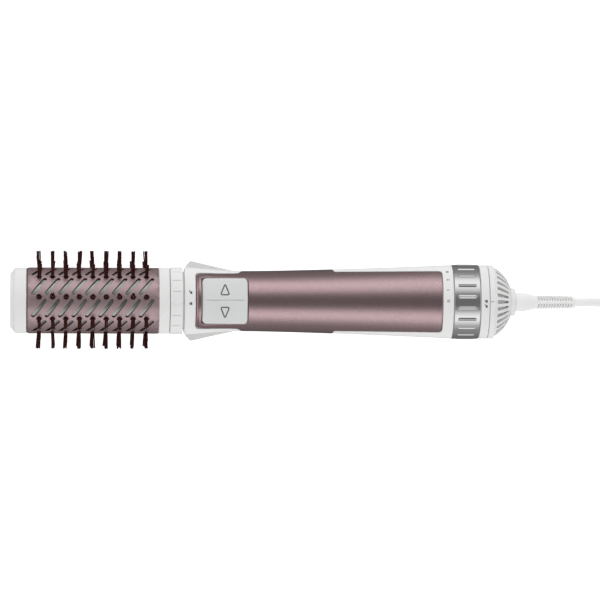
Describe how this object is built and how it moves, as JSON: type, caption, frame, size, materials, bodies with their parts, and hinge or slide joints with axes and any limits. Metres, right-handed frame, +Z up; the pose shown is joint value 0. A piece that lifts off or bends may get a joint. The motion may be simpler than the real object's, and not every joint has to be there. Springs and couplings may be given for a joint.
{
  "type": "hot air brush",
  "caption": "Handheld hot air brush: a motor-turned slotted round brush head on a tapering handle with a rocker button, selector ring, rear grille and swivel mains cord.",
  "frame": {"origin": "on the surface that the tool lies on, under the middle of the tool without its cord", "axes": "+X along the tool from the brush's nose to the cord, +Z up through the rocker button, +Y across; the tool's own axis is level, 33.3 mm above the surface"},
  "size_m": [0.5858, 0.0877, 0.0673],
  "materials": {
    "white_plastic": "satin white moulded plastic",
    "dark_seal": "soft dark ring",
    "barrel_ceramic": "metallic mauve ceramic coating",
    "bare_aluminium": "bright turned aluminium",
    "bristle_nylon": "dark brown nylon",
    "mauve_lacquer": "metallic mauve lacquer with a fine grain",
    "button_grey": "light warm grey, satin",
    "chrome_ring": "bright plated",
    "grey_plastic": "glass-filled grey",
    "steel": "bright steel",
    "nylon_gear": "natural nylon",
    "brass": "plain brass",
    "circuit_board": "green circuit board with dark components",
    "mica": "mica board",
    "heater_wire": "oxidised heater wire",
    "fan_plastic": "black glass-filled plastic",
    "filter_mesh": "fine wire mesh",
    "cord_white": "white flexible PVC",
    "tie_black": "black soft strap",
    "plug_white": "white moulded PVC",
    "nickel_pin": "nickel-plated brass"
  },
  "bodies": {
    "handle": {"gear_pin": "steel", "spindle_bush": "brass", "gearbox_case": "grey_plastic", "gearbox_cover": "grey_plastic", "brush_motor": "steel", "motor_cradle": "grey_plastic", "back_shell": "white_plastic", "front_cover": "mauve_lacquer", "rest_saddle": "white_plastic", "housing_screws": "steel", "rocker_pin": "steel", "rocker_frame": "grey_plastic", "rocker_board": "circuit_board", "heater_tube": "mica", "heater_boards": "mica", "heater_coil": "heater_wire", "fan_motor": "steel", "fan_duct": "grey_plastic", "control_board": "circuit_board", "selector_switch": "circuit_board", "rear_band": "white_plastic", "swivel_socket": "white_plastic", "cord_lead": "cord_white", "cord_coil": "cord_white", "cord_tail": "cord_white", "cord_tie": "tie_black", "plug_body": "plug_white", "plug_pins": "nickel_pin"},
    "lock_ring": {"lock_ring": "white_plastic"},
    "spindle": {"drive_spindle": "steel", "output_gear": "nylon_gear"},
    "brush_head": {"end_cap": "white_plastic", "cap_seal": "dark_seal", "barrel_sleeve": "barrel_ceramic", "heat_tube": "bare_aluminium", "core_tube": "grey_plastic", "drive_hub": "grey_plastic", "head_collar": "white_plastic", "bristle_strip_1": "bristle_nylon", "bristle_strip_2": "bristle_nylon", "bristle_strip_3": "bristle_nylon", "bristle_strip_4": "bristle_nylon", "bristle_strip_5": "bristle_nylon", "bristle_strip_6": "bristle_nylon", "bristle_strip_7": "bristle_nylon", "bristle_strip_8": "bristle_nylon", "bristle_strip_9": "bristle_nylon"},
    "gear_shaft": {"compound_gear": "nylon_gear"},
    "motor_shaft": {"motor_pinion": "brass"},
    "rocker": {"rocker_button": "button_grey"},
    "fan": {"fan_impeller": "fan_plastic"},
    "selector": {"selector_ring": "chrome_ring", "selector_finger": "grey_plastic"},
    "filter": {"filter_screen": "filter_mesh"},
    "grille": {"rear_grille": "white_plastic"},
    "cord_swivel": {"swivel_barrel": "grey_plastic", "slip_rings": "brass", "strain_relief": "cord_white"}
  },
  "joints": [
    {"name": "brush_spin", "type": "hinge", "parent": "handle", "child": "spindle", "pos_m": [0, 0, 0.03334], "axis": [1, 0, 0], "continuous": true},
    {"name": "head_release", "type": "slide", "parent": "spindle", "child": "brush_head", "axis": [-1, 0, 0], "range_m": [0, 0.04]},
    {"name": "idler_spin", "type": "hinge", "parent": "handle", "child": "gear_shaft", "pos_m": [0, 0, 0.02434], "axis": [1, 0, 0], "continuous": true},
    {"name": "motor_spin", "type": "hinge", "parent": "handle", "child": "motor_shaft", "pos_m": [0, 0, 0.03334], "axis": [1, 0, 0], "continuous": true},
    {"name": "lock_turn", "type": "hinge", "parent": "handle", "child": "lock_ring", "pos_m": [0, 0, 0.03334], "axis": [1, 0, 0], "range_deg": [0, 20]},
    {"name": "rocker_tilt", "type": "hinge", "parent": "handle", "child": "rocker", "pos_m": [0, 0, 0.04634], "axis": [1, 0, 0], "range_deg": [-4, 4], "stiffness_Nm_per_rad": 0.4},
    {"name": "fan_spin", "type": "hinge", "parent": "handle", "child": "fan", "pos_m": [0, 0, 0.03334], "axis": [1, 0, 0], "continuous": true},
    {"name": "selector_turn", "type": "hinge", "parent": "handle", "child": "selector", "pos_m": [0, 0, 0.03334], "axis": [-1, 0, 0], "range_deg": [0, 54]},
    {"name": "grille_twist", "type": "hinge", "parent": "handle", "child": "filter", "pos_m": [0, 0, 0.03334], "axis": [1, 0, 0], "range_deg": [0, 8]},
    {"name": "grille_pull", "type": "slide", "parent": "filter", "child": "grille", "axis": [1, 0, 0], "range_m": [0, 0.035]},
    {"name": "cord_turn", "type": "hinge", "parent": "handle", "child": "cord_swivel", "pos_m": [0, 0, 0.03334], "axis": [1, 0, 0], "continuous": true}
  ],
  "couplings": [
    {"joint": "idler_spin", "follows": "brush_spin", "ratio": -3},
    {"joint": "motor_spin", "follows": "brush_spin", "ratio": 9}
  ]
}
